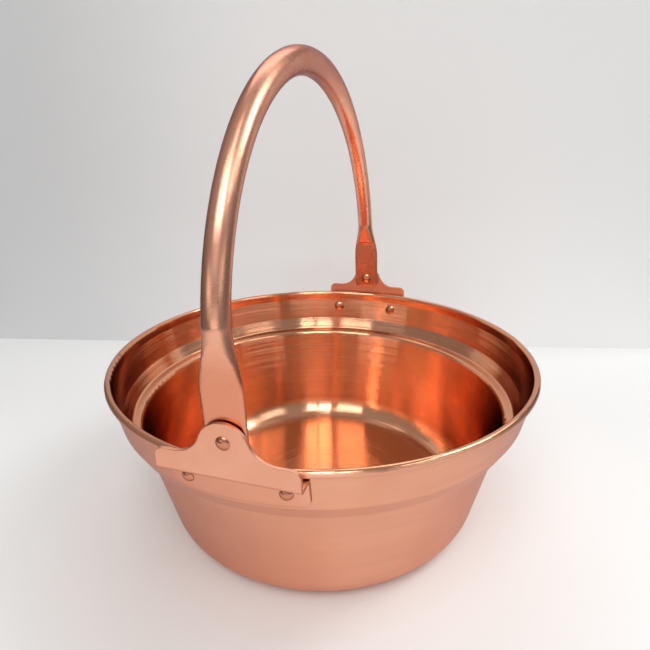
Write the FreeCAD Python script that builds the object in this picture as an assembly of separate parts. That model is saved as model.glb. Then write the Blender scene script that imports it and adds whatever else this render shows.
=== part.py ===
import FreeCAD, Part
import math
import os

# A copper cooking pot with a swinging tube handle.
#
# The pot stands on z = 0 with its centre on the Z axis. The handle turns about a line
# along X at pivot_height and rests at handle_lean from upright. "right" is the +X side
# and "left" the -X side.

# Pot: one spun sheet. The rim and the base are measured over all, the bends between
# them on the inner face, as steps in from the rim's throat and down from its top.
rim_radius = 150.0
rim_height = 121.0
pot_sheet = 1.2
base_radius = 113.3
ledge_inset = 6.2
ledge_below_rim = 37.5
step_inset = 4.9
step_below_rim = 35.4
collar_inset = 3.6
collar_below_rim = 26.2
crease_below_rim = 7.8
base_bend = 20.0
ledge_bend = 4.0
step_bend = 2.0
collar_bend = 3.0
crease_bend = 3.0

# Wire rolled into the rim, and how far the sheet curls round it.
rim_wire_diameter = 2.0
wire_clearance = 0.03
curl_end_angle = -112.0

# Handle bracket: one pressed sheet with a flange on the collar, a shelf under the
# rolled rim and an upright plate outside it.
bracket_sheet = 2.0
bracket_width = 75.0
plate_gap = 2.0
shelf_gap = 0.4
seat_clearance = 0.05
flange_depth = 18.1
flange_corner = 4.0
flange_inner_bend = 1.0
plate_inner_bend = 0.6
wing_above_rim = 5.9
wing_corner = 4.5
hump_radius = 13.2
hump_above_pivot = 10.2
hump_fillet = 15.0

# Handle pivots.
pivot_above_rim = 14.4
pivot_pin_diameter = 5.0
pivot_running_clearance = 0.08
pivot_side_clearance = 0.2
pivot_hole_clearance = 0.03
pivot_washer_diameter = 12.0
pivot_washer_thickness = 0.7

# Rivets: a broad head inside, a smaller set head outside.
rivet_diameter = 4.0
rivet_below_shelf = 9.3
rivet_spacing = 51.8
rivet_hole_clearance = 0.03
inner_head_diameter = 9.2
inner_head_height = 1.7
outer_head_diameter = 7.2
outer_head_height = 2.2
pivot_outer_head_diameter = 7.4
pivot_outer_head_height = 1.8

# Handle: a round tube, bent to half an ellipse and pressed flat at both ends.
# It is drawn thinner in the legs than at the crown. Heights are above the pivots.
tube_diameter = 13.0
crown_diameter = 16.4
crown_taper = 4
tube_wall = 1.5
arch_inset = 0.0
arch_foot = 30.1
arch_top = 174.1
arch_steps = 24
tongue_width = 22.0
tongue_thickness = 3.2
tongue_oval_depth = 6.2
tongue_below_pivot = 7.6
tongue_corner = 5.0
tongue_flat = 23.6
spread_top = 53.6
press_top = 51.1
outer_press_foot = 36.6
inner_press_foot = 35.1
press_step_rise = 2.0
press_step_depth = 2.9
pressed_wall = 1.4
bore_foot = 39.6

# How far the resting handle leans from upright towards -Y, in degrees.
handle_lean = 1.9

# Worked out from the above.
wire_radius = rim_wire_diameter / 2
curl_inner_radius = wire_radius + wire_clearance
curl_outer_radius = curl_inner_radius + pot_sheet
curl_centre_radius = rim_radius - curl_outer_radius
curl_centre_height = rim_height - curl_outer_radius

throat_radius = curl_centre_radius - curl_outer_radius
crease_height = rim_height - crease_below_rim
collar_radius = throat_radius - collar_inset
collar_height = rim_height - collar_below_rim
step_radius = collar_radius - step_inset
step_height = rim_height - step_below_rim
ledge_radius = step_radius - ledge_inset
ledge_height = rim_height - ledge_below_rim
collar_slope = math.atan2(collar_inset, crease_height - collar_height)
wall_slope = math.atan2(ledge_radius - base_radius, ledge_height)

plate_inner = rim_radius + plate_gap
plate_outer = plate_inner + bracket_sheet
plate_outer_bend = plate_inner_bend + bracket_sheet
plate_foot = plate_inner - bracket_sheet
flange_outer_bend = flange_inner_bend + bracket_sheet
shelf_top = rim_height - 2 * curl_outer_radius - shelf_gap
shelf_bottom = shelf_top - bracket_sheet
flange_bottom = shelf_top - flange_depth
rivet_height = shelf_top - rivet_below_shelf
wing_top = rim_height + wing_above_rim

pin_radius = pivot_pin_diameter / 2
pivot_height = rim_height + pivot_above_rim
hump_top = pivot_height + hump_above_pivot
tongue_outer = plate_inner - pivot_washer_thickness - pivot_side_clearance
tongue_inner = tongue_outer - tongue_thickness
tongue_middle = tongue_outer - tongue_thickness / 2
tube_radius = tube_diameter / 2
crown_radius = crown_diameter / 2
bore_radius = tube_radius - tube_wall
arch_half_span = tongue_middle - arch_inset
arch_rise = arch_top - arch_foot

UP = FreeCAD.Vector(0, 0, 1)
ORIGIN = FreeCAD.Vector(0, 0, 0)
ACROSS = FreeCAD.Vector(1, 0, 0)
ALONG = FreeCAD.Vector(0, 1, 0)


def side_point(x, z):
    """A point of the drawing plane y = 0."""
    return FreeCAD.Vector(x, 0, z)


def front_point(y, z):
    """A point of the plane x = 0."""
    return FreeCAD.Vector(0, y, z)


def unit(vector):
    return FreeCAD.Vector(vector).normalize()


def bend_points(before, corner, after, radius):
    """Start, middle and end of the arc that rounds a corner."""
    back = unit(before - corner)
    forward = unit(after - corner)
    half_angle = back.getAngle(forward) / 2
    reach = radius / math.tan(half_angle)
    centre = corner + unit(back + forward) * (radius / math.sin(half_angle))
    start = corner + back * reach
    end = corner + forward * reach
    middle = centre + unit(corner - centre) * radius
    return start, middle, end


def rounded_line(points, radii):
    """Edges along the points, with each inner corner rounded by its radius."""
    edges = []
    position = points[0]
    for index in range(1, len(points) - 1):
        start, middle, end = bend_points(
            points[index - 1], points[index], points[index + 1], radii[index - 1])
        edges.append(Part.makeLine(position, start))
        edges.append(Part.Arc(start, middle, end).toShape())
        position = end
    edges.append(Part.makeLine(position, points[-1]))
    return edges


def shifted_corners(points, distance):
    """Corners of the same line in y = 0, moved to its right by the distance."""
    shifted = []
    for index in range(len(points)):
        turn_in = unit(points[index] - points[max(index - 1, 0)]) if index > 0 else None
        last = index == len(points) - 1
        turn_out = None if last else unit(points[index + 1] - points[index])
        first_way = turn_in or turn_out
        next_way = turn_out or turn_in
        first_side = side_point(first_way.z, -first_way.x)
        next_side = side_point(next_way.z, -next_way.x)
        spread = 1 + first_side.dot(next_side)
        shifted.append(points[index] + (first_side + next_side) * (distance / spread))
    return shifted


def shifted_radii(points, radii, distance):
    """Bend radii on the moved line: larger round a left turn, smaller round a right one."""
    result = []
    for index, radius in enumerate(radii):
        way_in = points[index + 1] - points[index]
        way_out = points[index + 2] - points[index + 1]
        turns_left = way_in.x * way_out.z - way_in.z * way_out.x > 0
        result.append(radius + distance if turns_left else radius - distance)
    return result


def extruded(edges, direction):
    return Part.Face(Part.Wire(edges)).extrude(direction)


def closed_outline(points):
    return Part.makePolygon(points + [points[0]]).Edges


def around_z(shape, degrees):
    turned = shape.copy()
    turned.rotate(ORIGIN, UP, degrees)
    return turned


# Pot


def pot_corners():
    """Corners of the inner face, from the centre of the floor up to the rolled rim."""
    floor_radius = base_radius - pot_sheet * math.tan(math.pi / 4 - wall_slope / 2)
    return [
        side_point(0, pot_sheet),
        side_point(floor_radius, pot_sheet),
        side_point(ledge_radius, ledge_height),
        side_point(step_radius, step_height),
        side_point(collar_radius, collar_height),
        side_point(throat_radius, crease_height),
        side_point(throat_radius, curl_centre_height),
    ]


def pot_bends():
    return [base_bend, ledge_bend, step_bend, collar_bend, crease_bend]


def curl_point(radius, degrees):
    """A point of the rolled rim, at an angle round its wire."""
    angle = math.radians(degrees)
    return side_point(
        curl_centre_radius + radius * math.cos(angle),
        curl_centre_height + radius * math.sin(angle))


def curl_arc(radius):
    """Half a turn over the wire and on down its outer side."""
    half_way = (180 + curl_end_angle) / 2
    return Part.Arc(
        curl_point(radius, 180),
        curl_point(radius, half_way),
        curl_point(radius, curl_end_angle)).toShape()


def pot_body():
    corners = pot_corners()
    bends = pot_bends()
    outer_corners = shifted_corners(corners, pot_sheet)
    outer_bends = shifted_radii(corners, bends, pot_sheet)
    inner_face = rounded_line(corners, bends) + [curl_arc(curl_outer_radius)]
    outer_face = rounded_line(outer_corners, outer_bends) + [curl_arc(curl_inner_radius)]
    curl_edge = Part.makeLine(
        curl_point(curl_outer_radius, curl_end_angle),
        curl_point(curl_inner_radius, curl_end_angle))
    axis_edge = Part.makeLine(corners[0], outer_corners[0])
    section = Part.Wire(Part.__sortEdges__(inner_face + outer_face + [curl_edge, axis_edge]))
    body = Part.Face(section).revolve(ORIGIN, UP, 360)
    for azimuth in all_rivet_azimuths():
        body = body.cut(rivet_hole(azimuth))
    return body


def rim_wire():
    centre = FreeCAD.Vector(0, 0, curl_centre_height)
    return Part.makeTorus(curl_centre_radius, wire_radius, centre, UP)


# Rivets


def cap_middle(radius, height):
    """Half way along the arc of a domed head, from its rim to its top: (out, up)."""
    ball_radius = (radius ** 2 + height ** 2) / (2 * height)
    angle = math.asin(radius / ball_radius) / 2
    return ball_radius * math.sin(angle), height - ball_radius * (1 - math.cos(angle))


def rivet(shank, grip, inner_head, outer_head):
    """A rivet along X. The sheets that it joins lie between x = 0 and x = grip."""
    inner_radius, inner_height = inner_head
    outer_radius, outer_height = outer_head
    inner_out, inner_up = cap_middle(inner_radius, inner_height)
    outer_out, outer_up = cap_middle(outer_radius, outer_height)
    edges = [
        Part.Arc(
            side_point(-inner_height, 0),
            side_point(-inner_up, inner_out),
            side_point(0, inner_radius)).toShape(),
        Part.makeLine(side_point(0, inner_radius), side_point(0, shank)),
        Part.makeLine(side_point(0, shank), side_point(grip, shank)),
        Part.makeLine(side_point(grip, shank), side_point(grip, outer_radius)),
        Part.Arc(
            side_point(grip, outer_radius),
            side_point(grip + outer_up, outer_out),
            side_point(grip + outer_height, 0)).toShape(),
        Part.makeLine(side_point(grip + outer_height, 0), side_point(-inner_height, 0)),
    ]
    return Part.Face(Part.Wire(edges)).revolve(ORIGIN, ACROSS, 360)


def collar_inner_radius(height):
    return collar_radius + (height - collar_height) * math.tan(collar_slope)


def rivet_azimuths():
    """Directions of one bracket's two rivets, from the bracket's middle."""
    half_angle = math.degrees(math.asin(rivet_spacing / 2 / collar_inner_radius(rivet_height)))
    return [-half_angle, half_angle]


def all_rivet_azimuths():
    return [side + azimuth for side in (0, 180) for azimuth in rivet_azimuths()]


def on_collar(shape, azimuth):
    """Move a shape that lies along X onto the collar, square to its inner face."""
    placed = shape.copy()
    placed.rotate(ORIGIN, ALONG, math.degrees(collar_slope))
    placed.translate(side_point(collar_inner_radius(rivet_height), rivet_height))
    return around_z(placed, azimuth)


def rivet_hole(azimuth):
    radius = rivet_diameter / 2 + rivet_hole_clearance
    length = 6 * bracket_sheet
    drill = Part.makeCylinder(radius, length, side_point(-length / 2, 0), ACROSS)
    return on_collar(drill, azimuth)


def bracket_rivet(azimuth):
    """A rivet through collar and flange. Its flat inner head bridges the curved wall."""
    head_radius = inner_head_diameter / 2
    bridge = head_radius ** 2 / (2 * collar_inner_radius(rivet_height - head_radius))
    grip = bridge + pot_sheet + seat_clearance + bracket_sheet
    part = rivet(
        rivet_diameter / 2, grip,
        (head_radius, inner_head_height),
        (outer_head_diameter / 2, outer_head_height))
    part.translate(side_point(-bridge, 0))
    return on_collar(part, azimuth)


def bracket_rivets():
    return Part.makeCompound([bracket_rivet(azimuth) for azimuth in rivet_azimuths()])


def pivot_rivet():
    """The pin that the tongue turns on, set in the upright plate."""
    inner_face = tongue_inner - pivot_side_clearance
    part = rivet(
        pin_radius, plate_outer - inner_face,
        (inner_head_diameter / 2, inner_head_height),
        (pivot_outer_head_diameter / 2, pivot_outer_head_height))
    part.translate(side_point(inner_face, pivot_height))
    return part


def pivot_washer():
    face = plate_inner - pivot_washer_thickness
    centre = side_point(face, pivot_height)
    ring = Part.makeCylinder(
        pivot_washer_diameter / 2, pivot_washer_thickness, centre, ACROSS)
    bore = Part.makeCylinder(
        pin_radius + pivot_running_clearance, pivot_washer_thickness, centre, ACROSS)
    return ring.cut(bore)


# Bracket


def plate_outline():
    """Upright plate in x = 0: a round hump that flows into two low wings."""
    half_width = bracket_width / 2
    hump_centre = hump_top - hump_radius
    fillet_height = wing_top + hump_fillet
    reach = hump_radius + hump_fillet
    fillet_out = math.sqrt(reach ** 2 - (fillet_height - hump_centre) ** 2)
    share = hump_radius / reach
    meet_out = fillet_out * share
    meet_height = hump_centre + (fillet_height - hump_centre) * share
    meet_angle = math.atan2(fillet_height - hump_centre, fillet_out)
    bow_angle = (meet_angle + math.pi / 2) / 2
    bow_out = fillet_out - hump_fillet * math.cos(bow_angle)
    bow_height = fillet_height - hump_fillet * math.sin(bow_angle)
    corner_in = wing_corner * (1 - math.sqrt(0.5))

    edges = []
    for side in (1, -1):
        edges += [
            Part.Arc(
                front_point(side * meet_out, meet_height),
                front_point(side * bow_out, bow_height),
                front_point(side * fillet_out, wing_top)).toShape(),
            Part.makeLine(
                front_point(side * fillet_out, wing_top),
                front_point(side * (half_width - wing_corner), wing_top)),
            Part.Arc(
                front_point(side * (half_width - wing_corner), wing_top),
                front_point(side * (half_width - corner_in), wing_top - corner_in),
                front_point(side * half_width, wing_top - wing_corner)).toShape(),
            Part.makeLine(
                front_point(side * half_width, wing_top - wing_corner),
                front_point(side * half_width, shelf_bottom)),
        ]
    edges.append(Part.Arc(
        front_point(meet_out, meet_height),
        front_point(0, hump_top),
        front_point(-meet_out, meet_height)).toShape())
    edges.append(Part.makeLine(
        front_point(half_width, shelf_bottom),
        front_point(-half_width, shelf_bottom)))
    return Part.__sortEdges__(edges)


def centred_strip(section, width):
    """A section in y = 0 drawn out to the width, half of it on each side."""
    strip = extruded(section, ALONG * width)
    strip.translate(ALONG * (-width / 2))
    return strip


def upright_plate():
    """The plate and the bend at its foot, cut to the outline."""
    top = hump_top + bracket_sheet
    outer_side = rounded_line([
        side_point(plate_outer, top),
        side_point(plate_outer, shelf_bottom),
        side_point(plate_foot, shelf_bottom),
    ], [plate_outer_bend])
    inner_side = rounded_line([
        side_point(plate_inner, top),
        side_point(plate_inner, shelf_top),
        side_point(plate_foot, shelf_top),
    ], [plate_inner_bend])
    top_edge = Part.makeLine(side_point(plate_inner, top), side_point(plate_outer, top))
    join_edge = Part.makeLine(
        side_point(plate_foot, shelf_bottom), side_point(plate_foot, shelf_top))
    section = Part.__sortEdges__(outer_side + inner_side + [top_edge, join_edge])
    blank = centred_strip(section, 2 * bracket_width)
    return blank.common(extruded(plate_outline(), ACROSS * plate_outer))


def flange_outline():
    """Flange and shelf seen from outside: a strip with rounded lower corners."""
    half_width = bracket_width / 2
    points = [
        front_point(-half_width, rim_height),
        front_point(-half_width, flange_bottom),
        front_point(half_width, flange_bottom),
        front_point(half_width, rim_height),
    ]
    edges = rounded_line(points, [flange_corner, flange_corner])
    return edges + [Part.makeLine(points[-1], points[0])]


def flange_and_shelf():
    """A strip that follows the outside of the collar, then bends out under the rim."""
    wall = [
        side_point(collar_radius, collar_height),
        side_point(throat_radius, crease_height),
    ]
    foot, head = shifted_corners(wall, pot_sheet + seat_clearance)
    rise = unit(head - foot)
    corner = foot + rise * ((shelf_top - foot.z) / rise.z)
    seat = [foot - rise * bracket_sheet, corner, side_point(2 * rim_radius, shelf_top)]
    skin = shifted_corners(seat, bracket_sheet)
    seat_edges = rounded_line(seat, [flange_outer_bend])
    skin_edges = rounded_line(skin, [flange_inner_bend])
    ends = [Part.makeLine(seat[0], skin[0]), Part.makeLine(seat[-1], skin[-1])]
    section = Part.Wire(Part.__sortEdges__(seat_edges + skin_edges + ends))
    ring = Part.Face(section).revolve(ORIGIN, UP, 360)
    shelf_end = plate_outer - plate_outer_bend
    return ring.common(extruded(flange_outline(), ACROSS * shelf_end))


def bracket():
    body = upright_plate().fuse(flange_and_shelf()).removeSplitter()
    pin_hole = Part.makeCylinder(
        pin_radius + pivot_hole_clearance, 3 * bracket_sheet,
        side_point(plate_inner - bracket_sheet, pivot_height), ACROSS)
    body = body.cut(pin_hole)
    for azimuth in rivet_azimuths():
        body = body.cut(rivet_hole(azimuth))
    return body


# Handle


def arch_station(height):
    """Where the right leg's middle line is at a height, and its lean to the left."""
    sine = (height - arch_foot) / arch_rise
    cosine = math.sqrt(1 - sine ** 2)
    lean = math.atan2(arch_half_span * sine, arch_rise * cosine)
    return arch_half_span * cosine, lean


def oval(centre_x, height, half_depth, half_width, lean=0.0):
    """An oval across the leg, half_width along Y and half_depth, no larger, along X."""
    side = FreeCAD.Vector(0, half_width, 0)
    ring = Part.Ellipse(side, side_point(half_depth, 0), ORIGIN).toShape()
    ring.rotate(ORIGIN, ALONG, -math.degrees(lean))
    ring.translate(side_point(centre_x, height))
    return Part.Wire(ring)


def arch_bar(inset):
    """A round bar from leg to leg along the arch, its surface set in from the tube's."""
    start = math.asin((spread_top - arch_foot) / arch_rise)
    rings = []
    for step in range(arch_steps + 1):
        share = step / arch_steps
        turn = start + (math.pi - 2 * start) * share
        swell = (crown_radius - tube_radius) * math.sin(math.pi * share) ** crown_taper
        radius = tube_radius + swell - inset
        lean = math.atan2(
            arch_half_span * math.sin(turn), arch_rise * math.cos(turn))
        rings.append(oval(
            arch_half_span * math.cos(turn), arch_foot + arch_rise * math.sin(turn),
            radius, radius, lean))
    return Part.makeLoft(rings, True, False)


def blend(low, high, share):
    """Ease from one value to another as share runs from 0 to 1."""
    return low + (high - low) * (3 - 2 * share) * share ** 2


def leg_blank():
    """Right leg before pressing: a broad oval strip that draws in to the round tube."""
    half_width = tongue_width / 2
    half_depth = tongue_oval_depth / 2
    top_out, top_lean = arch_station(spread_top)
    strip = extruded(
        oval(tongue_middle, -tongue_below_pivot, half_depth, half_width).Edges,
        UP * (tongue_below_pivot + tongue_flat))
    rings = []
    for share in (0, 0.25, 0.5, 0.75, 1):
        rings.append(oval(
            blend(tongue_middle, top_out, share),
            tongue_flat + (spread_top - tongue_flat) * share,
            blend(half_depth, tube_radius, share),
            blend(half_width, tube_radius, share),
            blend(0, top_lean, share)))
    return strip.fuse(Part.makeLoft(rings, True, False))


def tube_side_at(height, side):
    """X of the outer (side 1) or inner (side -1) surface of the tube at a height."""
    out, lean = arch_station(height)
    return out + side * tube_radius / math.cos(lean)


def outer_press_at(height):
    """X of the flat that the press leaves on the outside of the right leg."""
    rise = (height - outer_press_foot) / (press_top - outer_press_foot)
    return tongue_outer + (tube_side_at(press_top, 1) - tongue_outer) * max(rise, 0)


def inner_press_at(height):
    """X of the sloping flat that the press leaves on the inside."""
    foot = tongue_inner - press_step_depth
    step_top = inner_press_foot + press_step_rise
    rise = (height - step_top) / (press_top - step_top)
    return foot + (tube_side_at(press_top, -1) - foot) * rise


def press_tools():
    """What the press takes off the right leg, outside and inside."""
    low = -2 * tongue_below_pivot
    step_top = inner_press_foot + press_step_rise
    outer_tool = [
        side_point(tongue_outer, low),
        side_point(tongue_outer, outer_press_foot),
        side_point(outer_press_at(press_top), press_top),
        side_point(arch_half_span + tube_diameter, press_top),
        side_point(arch_half_span + tube_diameter, low),
    ]
    inner_tool = [
        side_point(tongue_inner, low),
        side_point(tongue_inner, inner_press_foot),
        side_point(inner_press_at(step_top), step_top),
        side_point(inner_press_at(press_top), press_top),
        side_point(arch_half_span - tube_diameter, press_top),
        side_point(arch_half_span - tube_diameter, low),
    ]
    return [
        centred_strip(closed_outline(outline), 2 * tongue_width)
        for outline in (outer_tool, inner_tool)
    ]


def corner_tool(side):
    """Takes one lower corner off the right tongue: a square with a round bite."""
    corner_in = side * (tongue_width / 2 - tongue_corner)
    middle = FreeCAD.Vector(
        tongue_middle - tube_diameter, corner_in, tongue_corner - tongue_below_pivot)
    square = Part.makeBox(
        2 * tube_diameter, 2 * tongue_corner, 2 * tongue_corner,
        middle - FreeCAD.Vector(0, tongue_corner * (1 - side), 2 * tongue_corner))
    disc = Part.makeCylinder(tongue_corner, 2 * tube_diameter, middle, ACROSS)
    return square.cut(disc)


def leg_tools():
    """Everything taken off the right leg: press, rounded end and pin hole."""
    pin_hole = Part.makeCylinder(
        pin_radius + pivot_running_clearance, 2 * tube_diameter,
        side_point(tongue_middle - tube_diameter, 0), ACROSS)
    return press_tools() + [corner_tool(1), corner_tool(-1), pin_hole]


def bore_end():
    """The bore of the right leg, which the press closes towards the tongue."""
    top_out, top_lean = arch_station(spread_top)
    rings = []
    for share in (0, 0.5):
        height = bore_foot + (spread_top - bore_foot) * share
        outer = outer_press_at(height) - pressed_wall
        inner = inner_press_at(height) + pressed_wall
        rings.append(oval((outer + inner) / 2, height, (outer - inner) / 2, bore_radius))
    rings.append(oval(top_out, spread_top, bore_radius, bore_radius, top_lean))
    return Part.makeLoft(rings, True, False)


def bail_handle():
    tube = arch_bar(0)
    bore = arch_bar(tube_wall)
    for turn in (0, 180):
        leg = leg_blank()
        for tool in leg_tools():
            leg = leg.cut(tool)
        tube = tube.fuse(around_z(leg, turn))
        bore = bore.fuse(around_z(bore_end(), turn))
    handle = tube.cut(bore)
    handle.rotate(ORIGIN, ACROSS, handle_lean)
    handle.translate(UP * pivot_height)
    return handle


def main():
    os.makedirs("parts", exist_ok=True)
    nodes = {
        "pot_body": pot_body(),
        "rim_wire": rim_wire(),
        "bail_handle": bail_handle(),
    }
    paired = {
        "handle_bracket": bracket(),
        "bracket_rivets": bracket_rivets(),
        "pivot_rivet": pivot_rivet(),
        "pivot_washer": pivot_washer(),
    }
    for name, shape in paired.items():
        nodes[name + "_right"] = shape
        nodes[name + "_left"] = around_z(shape, 180)
    for name, shape in nodes.items():
        shape.exportStep("parts/" + name + ".step")
        print(name, "solids", len(shape.Solids), "volume", round(shape.Volume), "mm3",
              "sound" if shape.isValid() else "NOT SOUND")


main()
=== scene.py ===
# %% [markdown]
# # A copper pot with a swinging tube handle
# This lesson dresses a finished model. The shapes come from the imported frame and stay
# as they are, so what is made here is the room, the camera and the copper: a spun pot,
# a bent tube, pressed brackets and set rivets.

# %% Load the frame
import math

import bpy
from mathutils import Matrix, Vector


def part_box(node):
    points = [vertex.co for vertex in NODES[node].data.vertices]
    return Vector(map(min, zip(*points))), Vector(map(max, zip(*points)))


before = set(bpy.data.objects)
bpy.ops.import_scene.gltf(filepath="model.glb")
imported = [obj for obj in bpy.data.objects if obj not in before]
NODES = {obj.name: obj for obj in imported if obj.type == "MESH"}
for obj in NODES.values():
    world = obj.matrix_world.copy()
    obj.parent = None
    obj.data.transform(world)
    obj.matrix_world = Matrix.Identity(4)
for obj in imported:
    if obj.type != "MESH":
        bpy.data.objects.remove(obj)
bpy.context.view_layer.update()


def corners(box):
    """The two corners of a box as plain lists."""
    return [list(corner) for corner in box]


RIM_HEIGHT = corners(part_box("pot_body"))[1][2]
print("nodes", sorted(NODES))
print("rim height", round(RIM_HEIGHT, 4))

# %% [markdown]
# ## Camera
# The photograph was taken by hand from above the near bracket, a little to the right.
# The rim, the ledge, the base and the handle fix where the lens was. The camera leans
# by half a degree, so the matrix is built from a place, an aim and a roll.

# %% Set the camera
FOCAL_LENGTH = 27.69  # millimetres, on a sensor 36 mm wide
SENSOR_WIDTH = 36.0
NEAREST_SEEN = 0.005
CAMERA_AT = Vector((0.32634, 0.10180, 0.26347))
CAMERA_AIM = Vector((0.20495, 0.06469, 0.21700))
CAMERA_ROLL = -0.0089


def aimed_matrix(place, aim, roll=0.0):
    """A matrix that looks from a place to an aim, with Z up and a roll in radians."""
    forward = (aim - place).normalized()
    level = forward.cross(Vector((0, 0, 1))).normalized()
    above = level.cross(forward)
    right = level * math.cos(roll) + above * math.sin(roll)
    up = above * math.cos(roll) - level * math.sin(roll)
    turn = Matrix((right, up, -forward)).transposed()
    return Matrix.Translation(place) @ turn.to_4x4()


camera_data = bpy.data.cameras.new("camera")
camera_data.sensor_width = SENSOR_WIDTH
camera_data.lens = FOCAL_LENGTH
camera_data.clip_start = NEAREST_SEEN
camera = bpy.data.objects.new("camera", camera_data)
camera.matrix_world = aimed_matrix(CAMERA_AT, CAMERA_AIM, CAMERA_ROLL)
bpy.context.scene.collection.objects.link(camera)
bpy.context.scene.camera = camera
print("camera at", tuple(round(v, 4) for v in CAMERA_AT))

# %% [markdown]
# ## Node helpers
# A material here is a page of nodes. These short helpers add a node, fill in its
# values and link its inputs, so that each material below reads from top to bottom.

# %% Add nodes and feed their inputs


def new_tree(owner):
    """The node tree of a material or world, emptied."""
    owner.use_nodes = True
    owner.node_tree.nodes.clear()
    return owner.node_tree


def feed(tree, target, value):
    """Link a socket to an input, or write any other value into it."""
    if isinstance(value, bpy.types.NodeSocket):
        tree.links.new(value, target)
    else:
        target.default_value = value


def socket_of(sockets, name):
    """The enabled socket of a name. Some nodes keep several of one name."""
    return next(s for s in sockets if s.name == name and s.enabled)


def put(tree, kind, values=None, **settings):
    """Add a node, choose its settings, and feed its inputs by name or number."""
    node = tree.nodes.new(kind)
    for name, value in settings.items():
        setattr(node, name, value)
    for name, value in (values or {}).items():
        by_number = isinstance(name, int)
        target = node.inputs[name] if by_number else socket_of(node.inputs, name)
        feed(tree, target, value)
    return node


print("ready to add nodes")

# %% [markdown]
# Most masks are sums. They start from a noise, are eased between two limits, and mix
# two numbers or two colours. Each of these steps is one node.

# %% Reckon with numbers and colours


def math_node(tree, operation, *values):
    return put(tree, "ShaderNodeMath", dict(enumerate(values)),
               operation=operation).outputs[0]


def ramp(tree, value, low, high, new_low=0.0, new_high=1.0):
    """Ease from new_low to new_high as the value runs from low to high."""
    node = put(tree, "ShaderNodeMapRange", {
        "Value": value, "From Min": low, "From Max": high,
        "To Min": new_low, "To Max": new_high}, interpolation_type="SMOOTHSTEP")
    return node.outputs["Result"]


def between(tree, share, first, second):
    """A number that goes from the first to the second as the share goes to 1."""
    return put(tree, "ShaderNodeMix", {"Factor": share, "A": first, "B": second},
               data_type="FLOAT").outputs[0]


def mixed(tree, share, first, second):
    """A colour that goes from the first to the second as the share goes to 1."""
    node = put(tree, "ShaderNodeMix", {"Factor": share, "A": first, "B": second},
               data_type="RGBA")
    return socket_of(node.outputs, "Result")


def noise(tree, vector, scale, detail=2.0, roughness=0.5):
    node = put(tree, "ShaderNodeTexNoise", {
        "Vector": vector, "Scale": scale, "Detail": detail, "Roughness": roughness})
    return node.outputs["Fac"]


print("ready to mix numbers and colours")

# %% [markdown]
# The patterns of this pot follow its shape: rings round the axis, tilts across them.
# So places and directions are taken apart, changed and put together again.

# %% Reckon with places and directions


def axes_of(tree, vector):
    return put(tree, "ShaderNodeSeparateXYZ", {"Vector": vector}).outputs


def vector_of(tree, x, y, z):
    return put(tree, "ShaderNodeCombineXYZ", {"X": x, "Y": y, "Z": z}).outputs[0]


def vector_node(tree, operation, *values, output="Vector"):
    node = put(tree, "ShaderNodeVectorMath", dict(enumerate(values)),
               operation=operation)
    return node.outputs[output]


def plain_normal_of(tree):
    return put(tree, "ShaderNodeNewGeometry").outputs["Normal"]


print("ready to turn and measure directions")

# %% [markdown]
# An effect that several materials need is a group, a small page of nodes with named
# inputs and outputs. It is made once and placed in each material with its own values.

# %% Make and place groups
FLOAT = "NodeSocketFloat"
COLOR = "NodeSocketColor"
VECTOR = "NodeSocketVector"


def new_group(name, inputs, outputs):
    """An empty node group with named sockets, and its input and output nodes.

    An input is given by its first value: a number, a colour, or None for a vector.
    """
    group = bpy.data.node_groups.new(name, "ShaderNodeTree")
    kinds = {float: FLOAT, tuple: COLOR, type(None): VECTOR}
    for label, value in inputs.items():
        socket = group.interface.new_socket(
            label, in_out="INPUT", socket_type=kinds[type(value)])
        if value is not None:
            socket.default_value = value
    for label, kind in outputs.items():
        group.interface.new_socket(label, in_out="OUTPUT", socket_type=kind)
    given = group.nodes.new("NodeGroupInput").outputs
    result = group.nodes.new("NodeGroupOutput").inputs
    return group, given, result


def use_group(tree, group, values):
    """Place a group in a tree, feed its inputs by name, and give its outputs."""
    node = put(tree, "ShaderNodeGroup", node_tree=group)
    for name, value in values.items():
        feed(tree, node.inputs[name], value)
    return node.outputs


print("ready to make groups")

# %% [markdown]
# ## Floor and backdrop
# The pot stands on white paper, with a pale wall close behind it. Copper shows what is
# round it, so both are real geometry: the pot mirrors the paper from below. The paper
# is only a metre wide, because the handle's dark sides show that the room is dim to
# the left and right. The wall has a front only, so the pot can be seen from behind too.

# %% Build the paper and the wall
PAPER_WIDTH = 1.06
PAPER_REACH = 1.2
WALL_BEHIND = 0.302
WALL_TURN = math.radians(193.3)
WALL_TOP = 0.5


def sheet_object(name, corner_points):
    """A flat sheet. Points are (away from the camera, across, up) from the pot."""
    points = []
    for out, across, height in corner_points:
        points.append((
            out * math.cos(WALL_TURN) - across * math.sin(WALL_TURN),
            out * math.sin(WALL_TURN) + across * math.cos(WALL_TURN), height))
    mesh = bpy.data.meshes.new(name)
    mesh.from_pydata(points, [], [(0, 1, 2, 3)])
    obj = bpy.data.objects.new(name, mesh)
    bpy.context.scene.collection.objects.link(obj)
    return obj


half = PAPER_WIDTH / 2
paper = sheet_object("paper", [
    (-PAPER_REACH, -half, 0.0), (-PAPER_REACH, half, 0.0),
    (PAPER_REACH, half, 0.0), (PAPER_REACH, -half, 0.0)])
wall = sheet_object("wall", [
    (WALL_BEHIND, half, 0.0), (WALL_BEHIND, -half, 0.0),
    (WALL_BEHIND, -half, WALL_TOP), (WALL_BEHIND, half, WALL_TOP)])
for sheet in (paper, wall):
    facing = tuple(round(v, 2) for v in sheet.data.polygons[0].normal)
    print(sheet.name, "faces", facing)
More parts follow.
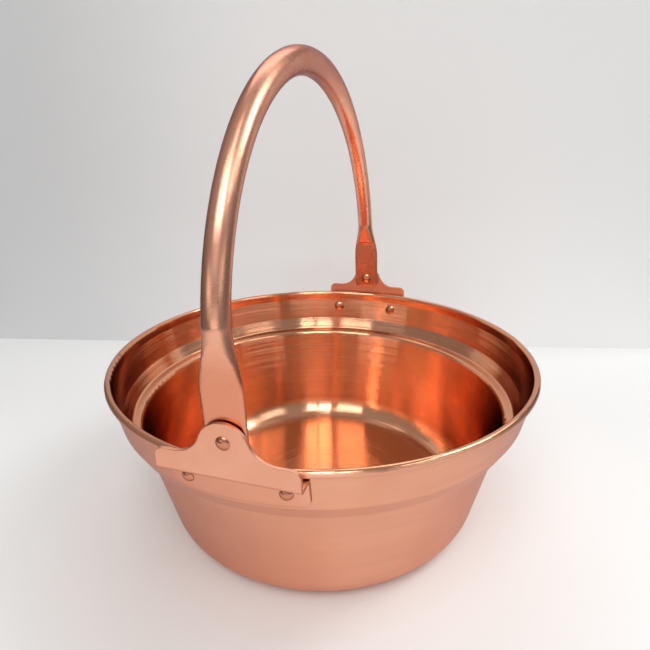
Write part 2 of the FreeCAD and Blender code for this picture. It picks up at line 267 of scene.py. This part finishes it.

# %% [markdown]
# Good paper and a painted wall are nearly white, but not evenly so. A broad noise gives
# soft clouds of tone and a very fine one stands for the fibres. The wall also darkens
# towards the left: that is painted shade, a darker tone in its colour.

# %% Colour the paper and the wall
PAPER_TONES = ((0.885, 0.895, 0.905, 1), (0.925, 0.935, 0.94, 1))
WALL_TONES = ((0.93, 0.94, 0.95, 1), (0.95, 0.96, 0.97, 1))
# Painted shade: the wall's colour darkens towards its left end.
WALL_PAINTED_SHADE_TONE = (0.73, 0.74, 0.755, 1)
WALL_SHADE_FROM, WALL_SHADE_FULL = -0.12, -0.45
PAPER_CLOUDS, PAPER_FIBRES = 3.0, 900.0


def pale_material(name, first, second, is_wall):
    material = bpy.data.materials.new(name)
    tree = new_tree(material)
    place = put(tree, "ShaderNodeTexCoord").outputs["Object"]
    fibre = noise(tree, place, PAPER_FIBRES, 2.0, 0.6)
    color = mixed(tree, noise(tree, place, PAPER_CLOUDS), first, second)
    if is_wall:
        # Painted shade: a darker tone is mixed in towards the wall's left end.
        across = axes_of(tree, place)[1]
        grey = ramp(tree, across, WALL_SHADE_FULL, WALL_SHADE_FROM, 1.0, 0.0)
        color = mixed(tree, grey, color, WALL_PAINTED_SHADE_TONE)
    roughness = math_node(tree, "MULTIPLY_ADD", fibre, 0.1, 0.75)
    bump = put(tree, "ShaderNodeBump", {
        "Height": fibre, "Strength": 0.1, "Distance": 0.0002})
    surface = put(tree, "ShaderNodeBsdfPrincipled", {
        "Base Color": color, "Roughness": roughness, "Specular IOR Level": 0.15,
        "Normal": bump.outputs[0]}).outputs[0]
    if is_wall:
        behind = put(tree, "ShaderNodeNewGeometry").outputs["Backfacing"]
        clear = put(tree, "ShaderNodeBsdfTransparent").outputs[0]
        surface = put(tree, "ShaderNodeMixShader", {
            0: behind, 1: surface, 2: clear}).outputs[0]
    put(tree, "ShaderNodeOutputMaterial", {"Surface": surface})
    return material


paper.data.materials.append(pale_material("white_paper", *PAPER_TONES, False))
wall.data.materials.append(pale_material("pale_wall", *WALL_TONES, True))
print("paper", PAPER_WIDTH, "wide, wall", WALL_BEHIND, "behind the pot's middle")

# %% [markdown]
# ## The room
# Copper is mostly what it mirrors, so the room matters as much as the metal. Windows
# behind the camera are soft panels, placed by azimuth, elevation and size as seen from
# the pot. Azimuths are in degrees from the direction behind the camera, and grow to its
# right. A strength of 1 is as bright as white paper.

# %% Hang the panels
BEHIND_CAMERA = 17.3
PANEL_DISTANCE = 2.5
PANEL_COLOR = (1.0, 0.985, 0.96)
PANELS = {
    # name: (left, right, low, high, strength)
    "window_left": (-42, -15, 40, 56, 3.4),
    "window_middle": (-9, 4.5, 42, 59, 6.4),
    "window_right": (6.5, 18, 42, 57, 6.0),
    "window_far_right": (42, 66, 40, 54, 2.6),
    "side_window": (92, 104, 38, 58, 11.0),
    "side_wall": (70, 130, 34, 62, 1.3),
    "low_left": (-60, -28, 8, 20, 1.1),
    "low_right": (30, 64, 10, 20, 1.0),
    "low_front": (-28, 22, 0, 5, 2.3),
    "front_wall": (-26, 19, 21, 31, 0.5),
    "high_front": (-55, 30, 61, 69, 3.6),
    "ceiling": (-16, 16, 73, 85, 4.5),
    "over_the_wall": (150, 210, 40, 66, 2.0),
}


def span(degrees):
    """How wide an angle is at the panels' distance."""
    return 2 * PANEL_DISTANCE * math.tan(math.radians(degrees) / 2)


def soft_panel(name, left, right, low, high, strength):
    """An area lamp that fills a box of azimuths and elevations as seen from the pot."""
    azimuth = math.radians(BEHIND_CAMERA + (left + right) / 2)
    elevation = math.radians((low + high) / 2)
    away = Vector((
        math.cos(elevation) * math.cos(azimuth),
        math.cos(elevation) * math.sin(azimuth), math.sin(elevation)))
    middle = Vector((0, 0, RIM_HEIGHT))
    lamp = bpy.data.lights.new(name, "AREA")
    lamp.shape = "RECTANGLE"
    lamp.size = span((right - left) * math.cos(elevation))
    lamp.size_y = span(high - low)
    lamp.energy = strength * math.pi * lamp.size * lamp.size_y
    lamp.color = PANEL_COLOR
    panel = bpy.data.objects.new(name, lamp)
    panel.matrix_world = aimed_matrix(middle + away * PANEL_DISTANCE, middle)
    bpy.context.scene.collection.objects.link(panel)


for name, numbers in PANELS.items():
    soft_panel(name, *numbers)
print("panels", len(PANELS))

# %% [markdown]
# ## Light between the windows
# Between the windows lie walls and a ceiling that are paler towards the top. The world
# stands for them, and what the camera sees of it directly is a plain pale grey.

# %% Tint the room
ROOM_COLOR = (1.0, 0.99, 0.975, 1)
ROOM_LOW_GLOW, ROOM_HIGH_GLOW = 0.16, 0.38
SEEN_DIRECTLY = 0.85

world = bpy.data.worlds.new("room")
bpy.context.scene.world = world
tree = new_tree(world)
direction = put(tree, "ShaderNodeTexCoord").outputs["Generated"]
height = axes_of(tree, direction)[2]
glow = ramp(tree, height, -0.2, 0.9, ROOM_LOW_GLOW, ROOM_HIGH_GLOW)
seen = put(tree, "ShaderNodeLightPath").outputs["Is Camera Ray"]
sky = put(tree, "ShaderNodeBackground", {
    "Color": ROOM_COLOR, "Strength": between(tree, seen, glow, SEEN_DIRECTLY)})
put(tree, "ShaderNodeOutputWorld", {"Surface": sky.outputs[0]})
print("world", world.name)

# %% [markdown]
# ## Spin lines
# A pot like this is pressed against a turning block, and the tool leaves fine rings.
# The rings follow the sheet, so the noise is read along the distance from the axis plus
# the height, which changes evenly along base, wall and collar alike. A second, broader
# noise makes bands, because no two passes of the tool press quite alike.

# %% Make the spin lines group
BAND_STRETCH = (0.09, 1.5, 1.5)
FINE_SHARE, BAND_SHARE = 0.4, 0.6


def along_the_sheet(tree, place):
    """X, Y, and the distance from the axis plus the height."""
    x, y, z = axes_of(tree, place)
    out = vector_node(tree, "LENGTH", vector_of(tree, x, y, 0.0), output="Value")
    return x, y, math_node(tree, "ADD", out, z)


spin_lines, given, result = new_group(
    "spin_lines", {"Place": None, "Lines": 900.0, "Wander": 4.0},
    {"Height": FLOAT, "Streak": FLOAT})
x, y, along = along_the_sheet(spin_lines, given["Place"])
line_vector = vector_of(
    spin_lines, math_node(spin_lines, "MULTIPLY", along, given["Lines"]),
    math_node(spin_lines, "MULTIPLY", x, given["Wander"]),
    math_node(spin_lines, "MULTIPLY", y, given["Wander"]))
fine = noise(spin_lines, line_vector, 1.0, 3.0, 0.7)
band_vector = vector_node(spin_lines, "MULTIPLY", line_vector, BAND_STRETCH)
band = noise(spin_lines, band_vector, 1.0)
streak = math_node(spin_lines, "MULTIPLY", fine, FINE_SHARE)
streak = math_node(spin_lines, "MULTIPLY_ADD", band, BAND_SHARE, streak)
spin_lines.links.new(fine, result["Height"])
spin_lines.links.new(streak, result["Streak"])
print("group", spin_lines.name)

# %% [markdown]
# ## Grooves too fine to see
# Between the rings that show lie grooves finer than a pixel. Each tilts the metal a
# little across its own direction and not along it. That smears a window up and down the
# wall of the pot while its sides stay sharp, which is the mark of spun copper.

# %% Make the spin grooves group


def round_the_axis(tree):
    """The direction that runs round the pot's axis, as its rings do."""
    return put(tree, "ShaderNodeTangent", direction_type="RADIAL", axis="Z").outputs[0]


spin_grooves, given, result = new_group(
    "spin_grooves", {"Place": None, "Lines": 5000.0, "Tilt": 0.5}, {"Normal": VECTOR})
x, y, along = along_the_sheet(spin_grooves, given["Place"])
line_place = math_node(spin_grooves, "MULTIPLY", along, given["Lines"])
slope = noise(spin_grooves, vector_of(spin_grooves, line_place, x, y), 1.0, 1.0)
slope = math_node(spin_grooves, "SUBTRACT", slope, 0.5)
slope = math_node(spin_grooves, "MULTIPLY", slope, given["Tilt"])
plain_normal = plain_normal_of(spin_grooves)
across = vector_node(
    spin_grooves, "CROSS_PRODUCT", plain_normal, round_the_axis(spin_grooves))
push = put(spin_grooves, "ShaderNodeVectorMath", {0: across, "Scale": slope},
           operation="SCALE").outputs[0]
tilted = vector_node(spin_grooves, "ADD", push, plain_normal)
tilted = vector_node(spin_grooves, "NORMALIZE", tilted)
spin_grooves.links.new(tilted, result["Normal"])
print("group", spin_grooves.name)

# %% [markdown]
# ## Copper tone
# Bare copper is never one colour. Where it was annealed or touched it is a little
# deeper, in soft clouds a few centimetres wide, with a finer mottle inside them.

# %% Make the copper tone group
SATIN = {"Bright": (0.92, 0.46, 0.31, 1.0), "Deep": (0.87, 0.40, 0.26, 1.0)}

copper_tone, given, result = new_group(
    "copper_tone", {"Place": None, **SATIN, "Cloud Size": 14.0},
    {"Color": COLOR, "Cloud": FLOAT})
cloud = noise(copper_tone, given["Place"], given["Cloud Size"], 3.0, 0.55)
cloud = ramp(copper_tone, cloud, 0.35, 0.65)
tone = mixed(copper_tone, cloud, given["Bright"], given["Deep"])
copper_tone.links.new(tone, result["Color"])
copper_tone.links.new(cloud, result["Cloud"])
print("group", copper_tone.name)

# %% [markdown]
# ## Handling marks
# A pot that has been carried has hairline scratches and dull smudges from fingers. The
# scratches are noise that is squeezed in one direction and drawn out in another, twice,
# so that two families of lines cross. The smudges are a broad noise cut off low.

# %% Make the handling marks group
SCRATCH_AXIS = (0.3, 0.5, 0.8)
SCRATCH_FAMILIES = ((0.6, 0.02), (2.1, 0.03))  # (turn in radians, how drawn out)
SCRATCH_DEPTH_SCALE = 25.0

handling_marks, given, result = new_group(
    "handling_marks", {"Place": None, "Fineness": 900.0, "Smudge Size": 30.0},
    {"Scratches": FLOAT, "Smudges": FLOAT})
families = []
for turn, stretch in SCRATCH_FAMILIES:
    turned = put(handling_marks, "ShaderNodeVectorRotate", {
        "Vector": given["Place"], "Axis": SCRATCH_AXIS, "Angle": turn}).outputs[0]
    x, y, z = axes_of(handling_marks, turned)
    x = math_node(handling_marks, "MULTIPLY", x, given["Fineness"])
    y = math_node(handling_marks, "MULTIPLY", y, given["Fineness"])
    y = math_node(handling_marks, "MULTIPLY", y, stretch)
    z = math_node(handling_marks, "MULTIPLY", z, SCRATCH_DEPTH_SCALE)
    lines = noise(handling_marks, vector_of(handling_marks, x, y, z), 1.0, 1.0)
    families.append(ramp(handling_marks, lines, 0.70, 0.78))
scratches = math_node(handling_marks, "MAXIMUM", *families)
smudges = noise(handling_marks, given["Place"], given["Smudge Size"], 4.0, 0.6)
smudges = ramp(handling_marks, smudges, 0.52, 0.72)
handling_marks.links.new(scratches, result["Scratches"])
handling_marks.links.new(smudges, result["Smudges"])
print("group", handling_marks.name)

# %% [markdown]
# ## Seams
# Seams get painted shade: the colour darkens round the rivet heads, under the shelf and
# between bracket and collar, where little light reaches. Ambient occlusion over a
# millimetre or two finds such places on any shape, so nothing has to be painted by
# hand.

# %% Make the seam group
seam_shade, given, result = new_group(
    "seam_shade", {"Reach": 0.002, "Grip": 0.75}, {"Mask": FLOAT})
open_share = put(seam_shade, "ShaderNodeAmbientOcclusion", {
    "Distance": given["Reach"]}, samples=4).outputs["AO"]
shade = ramp(seam_shade, open_share, 0.35, given["Grip"], 1.0, 0.0)
seam_shade.links.new(shade, result["Mask"])
print("group", seam_shade.name)

# %% [markdown]
# ## Edges
# The brackets were cut from sheet, and their edges get thin dark lines of painted
# shade;
# the same mask makes them a little glossier, as worn edges are. Bevel gives the normal
# that an edge would have if it were rounded. Where it differs from the plain normal
# there is an edge, and the rounded normal itself takes the hardness off it.

# %% Make the edge group
edge_wear_and_shade, given, result = new_group(
    "edge_wear_and_shade", {"Width": 0.0005}, {"Mask": FLOAT, "Normal": VECTOR})
round_normal = put(edge_wear_and_shade, "ShaderNodeBevel", {
    "Radius": given["Width"]}, samples=6).outputs[0]
likeness = vector_node(edge_wear_and_shade, "DOT_PRODUCT", round_normal,
                       plain_normal_of(edge_wear_and_shade), output="Value")
# The mask marks edges for painted shade and a little gloss.
edge_mask = ramp(edge_wear_and_shade, likeness, 0.75, 0.97, 1.0, 0.0)
edge_wear_and_shade.links.new(edge_mask, result["Mask"])
edge_wear_and_shade.links.new(round_normal, result["Normal"])
print("group", edge_wear_and_shade.name)

# %% [markdown]
# ## The pot
# The pot was spun from one sheet. The tool leaves rings, and a surface full of rings
# mirrors sharply along them and blurs across them. That is what Anisotropic does, with
# a tangent that runs round the Z axis. The maker left the outside satin and polished
# the inside, so a mask from the normal tells the two sides of the sheet apart.

# %% Tell the inside from the outside
pot_look = bpy.data.materials.new("pot_copper_look")
tree = new_tree(pot_look)
coords = put(tree, "ShaderNodeTexCoord").outputs
place = coords["Object"]
x, y = axes_of(tree, place)[:2]
flat = vector_of(tree, x, y, 0.0)
outward = vector_node(tree, "NORMALIZE", flat)
facing_out = vector_node(tree, "DOT_PRODUCT", coords["Normal"], outward, output="Value")
facing_up = axes_of(tree, coords["Normal"])[2]
inside = ramp(tree, math_node(tree, "SUBTRACT", facing_up, facing_out), -0.2, 0.2)
print("inside where the sheet faces up or towards the axis")

# %% [markdown]
# A thin ring lies on the pot's floor, where the sheet was clamped to the block. It is
# a groove in the relief and a painted highlight in the colour.
# It is one circle, so the distance from the axis is all that it needs.

# %% Draw the ring on the floor
RING_RADIUS = 0.096
RING_WIDTH = 0.0007
from_axis = vector_node(tree, "LENGTH", flat, output="Value")
off_ring = math_node(
    tree, "ABSOLUTE", math_node(tree, "SUBTRACT", from_axis, RING_RADIUS))
ring = ramp(tree, off_ring, 0.3 * RING_WIDTH, RING_WIDTH, 1.0, 0.0)
print("ring at", RING_RADIUS)

# %% [markdown]
# The colour starts from the two copper tones. Bands from the spinning, the painted
# highlight of the ring and the painted shade at the seams are then mixed over it one
# after the other, each with its own mask.

# %% Colour the pot
POLISHED = {"Bright": (0.88, 0.45, 0.26, 1), "Deep": (0.82, 0.38, 0.21, 1)}
BAND_TONE = (0.84, 0.40, 0.26, 1)
# Painted highlight: the ring's colour is lighter.
RING_HIGHLIGHT_TONE, RING_HIGHLIGHT_SHARE = (0.98, 0.78, 0.62, 1), 0.7
# Painted shade: the pot's seams take a dark tone.
POT_SEAM_SHADE_TONE, POT_SEAM_SHADE_SHARE = (0.30, 0.14, 0.09, 1), 0.7

spin = use_group(tree, spin_lines, {"Place": place, "Lines": 1500.0})
marks = use_group(tree, handling_marks, {"Place": place})
seam = use_group(tree, seam_shade, {"Reach": 0.0015})
satin = use_group(tree, copper_tone, {"Place": place})
polished = use_group(tree, copper_tone, {"Place": place, **POLISHED})
color = mixed(tree, inside, satin["Color"], polished["Color"])
banded = ramp(tree, spin["Streak"], 0.35, 0.65, 0.0, 0.5)
color = mixed(tree, banded, color, BAND_TONE)
# Painted highlight: the lighter ring tone is mixed in.
ring_highlight_share = math_node(tree, "MULTIPLY", ring, RING_HIGHLIGHT_SHARE)
color = mixed(tree, ring_highlight_share, color, RING_HIGHLIGHT_TONE)
# Painted shade: the occlusion mask darkens the colour at the seams.
seam_shade_share = math_node(tree, "MULTIPLY", seam["Mask"], POT_SEAM_SHADE_SHARE)
color = mixed(tree, seam_shade_share, color, POT_SEAM_SHADE_TONE)
print("pot colours: satin, polished, bands, ring, seams")

# %% [markdown]
# The gloss differs more than the colour does. The satin outside blurs what it mirrors,
# and the polished inside shows the windows. Scratches and smudges dull both a little.
# The grooves tilt the normal first, and the rings that show are bumped on top of them.

# %% Finish the pot
SATIN_ROUGHNESS, SATIN_STREAKS, SATIN_TILT = 0.25, 0.10, 0.9
POLISHED_ROUGHNESS, POLISHED_STREAKS, POLISHED_TILT = 0.08, 0.03, 1.2
SCRATCH_DULLNESS, SMUDGE_DULLNESS = 0.05, 0.03
RING_DEPTH = 2.5  # in heights of the spin lines
POT_GRAZING_TINT = (0.60, 0.60, 0.68, 1)

rough_out = math_node(
    tree, "MULTIPLY_ADD", spin["Streak"], SATIN_STREAKS, SATIN_ROUGHNESS)
rough_in = math_node(
    tree, "MULTIPLY_ADD", spin["Streak"], POLISHED_STREAKS, POLISHED_ROUGHNESS)
roughness = between(tree, inside, rough_out, rough_in)
roughness = math_node(
    tree, "MULTIPLY_ADD", marks["Scratches"], SCRATCH_DULLNESS, roughness)
roughness = math_node(
    tree, "MULTIPLY_ADD", marks["Smudges"], SMUDGE_DULLNESS, roughness)
relief = math_node(tree, "MULTIPLY_ADD", ring, -RING_DEPTH, spin["Height"])
tilt = between(tree, inside, SATIN_TILT, POLISHED_TILT)
grooves = use_group(tree, spin_grooves, {"Place": place, "Tilt": tilt})
bump = put(tree, "ShaderNodeBump", {
    "Height": relief, "Strength": 0.05, "Distance": 0.0003,
    "Normal": grooves["Normal"]})
shader = put(tree, "ShaderNodeBsdfPrincipled", {
    "Base Color": color, "Roughness": roughness, "Metallic": 1.0,
    "Anisotropic": 0.95, "Anisotropic Rotation": 0.25,
    "Specular Tint": POT_GRAZING_TINT, "Normal": bump.outputs[0],
    "Tangent": round_the_axis(tree)})
put(tree, "ShaderNodeOutputMaterial", {"Surface": shader.outputs[0]})
print("material", pot_look.name)

# %% [markdown]
# ## Handle, brackets and rivets
# These parts weren't spun. The tube was drawn and buffed, the brackets were cut from
# sheet and tumbled to a matte satin, the rivet heads were set with a polished punch.
# They share one recipe and differ in roughness, in how strongly the painted shade at
# seams and edges shows, and in how deep their tone is. The ends of the tube are redder
# up to a certain height, which is a painted reflection of the copper beside them.

# %% Write the recipe for the smaller copper parts
GRAZING_TINT = (0.36, 0.32, 0.40, 1)
# Painted reflection: the tube ends take a redder tone below a certain height.
REFLECTED_COPPER_TONE = (0.76, 0.30, 0.18, 1)
# Painted shade: the dark tone that seams take.
SEAM_SHADE_TONE = (0.26, 0.12, 0.08, 1)
# Painted shade: the dark tone that edges take.
EDGE_SHADE_TONE = (0.34, 0.16, 0.11, 1)
REFLECTION_FADE_BELOW, REFLECTION_FADE_ABOVE = 0.01, 0.02
GRAIN_FINENESS = 2500.0


def worked_copper(name, tones, roughness, seam_shade_share, edge_width, edge_shade_share,
                  reflection_below=None):
    """A worked copper. Each share says how strongly seams or edges take their painted
    shade.
    """
    material = bpy.data.materials.new(name)
    tree = new_tree(material)
    place = put(tree, "ShaderNodeTexCoord").outputs["Object"]
    tone = use_group(tree, copper_tone, {"Place": place, "Cloud Size": 26.0, **tones})
    marks = use_group(tree, handling_marks, {"Place": place, "Fineness": 1300.0})
    seam = use_group(tree, seam_shade, {})
    edge = use_group(tree, edge_wear_and_shade, {"Width": edge_width})
    color = tone["Color"]
    # Painted reflection: a redder tone below the given height.
    if reflection_below:
        reflection_share = ramp(tree, axes_of(tree, place)[2], reflection_below - REFLECTION_FADE_BELOW,
                    reflection_below + REFLECTION_FADE_ABOVE, 1.0, 0.0)
        color = mixed(tree, reflection_share, color, REFLECTED_COPPER_TONE)
    # Painted shade: the seam and edge masks darken the colour.
    for mask, share, dark in ((seam["Mask"], seam_shade_share, SEAM_SHADE_TONE),
                              (edge["Mask"], edge_shade_share, EDGE_SHADE_TONE)):
        color = mixed(tree, math_node(tree, "MULTIPLY", mask, share), color, dark)
    for mask, change in ((tone["Cloud"], 0.04), (marks["Scratches"], 0.03),
                         (marks["Smudges"], 0.03), (edge["Mask"], -0.05)):
        roughness = math_node(tree, "MULTIPLY_ADD", mask, change, roughness)
    bump = put(tree, "ShaderNodeBump", {
        "Height": noise(tree, place, GRAIN_FINENESS, 2.0, 0.6), "Strength": 0.008,
        "Distance": 0.0002, "Normal": edge["Normal"]})
    shader = put(tree, "ShaderNodeBsdfPrincipled", {
        "Base Color": color, "Roughness": roughness, "Metallic": 1.0,
        "Specular Tint": GRAZING_TINT, "Normal": bump.outputs[0]})
    put(tree, "ShaderNodeOutputMaterial", {"Surface": shader.outputs[0]})
    print("material", name)
    return material


# %% [markdown]
# ## Dressing the pieces
# The kinds of piece get their own numbers. Rivet heads and washers are browner than the
# sheet, because they are small and nobody polishes them again, and the wire inside the
# rim is steel. Each node's name starts with its kind, so both sides are dressed alike.

# %% Dress every piece
BUFFED = {"Bright": (0.92, 0.46, 0.32, 1), "Deep": (0.88, 0.42, 0.28, 1)}
BROWN = {"Bright": (0.74, 0.31, 0.19, 1), "Deep": (0.62, 0.25, 0.15, 1)}
STEEL = {"Bright": (0.50, 0.48, 0.46, 1), "Deep": (0.40, 0.38, 0.36, 1)}
LOOKS = {
    # kind: (material, tones, roughness, seam shade share, edge width, edge shade share)
    "bail_handle": ("handle_copper_look", BUFFED, 0.25, 0.2, 0.0025, 0.0),
    "handle_bracket": ("bracket_copper_look", BUFFED, 0.40, 0.8, 0.0007, 0.8),
    "bracket_rivets": ("rivet_copper_look", BROWN, 0.22, 1.0, 0.0003, 0.2),
    "pivot_rivet": ("pivot_copper_look", BROWN, 0.20, 1.0, 0.0003, 0.2),
    "pivot_washer": ("washer_copper_look", BROWN, 0.35, 0.8, 0.0002, 0.2),
    "rim_wire": ("steel_wire_look", STEEL, 0.35, 0.5, 0.0002, 0.0),
}
# Painted reflection: the height below which the tube ends are redder.
REFLECTION_BELOW = {"bail_handle": 0.172}

looks = {"pot_body": pot_look}
for kind, recipe in LOOKS.items():
    looks[kind] = worked_copper(*recipe, reflection_below=REFLECTION_BELOW.get(kind))
for name, node in NODES.items():
    kind = next(kind for kind in looks if name.startswith(kind))
    materials = node.data.materials
    if not materials:
        materials.append(looks[kind])
    for slot in range(len(materials)):
        materials[slot] = looks[kind]
print("dressed", len(NODES), "nodes")

# %% [markdown]
# ## Finish
# The colours are shown as written, with the Standard view transform.

# %% Finish
bpy.context.scene.view_settings.view_transform = "Standard"
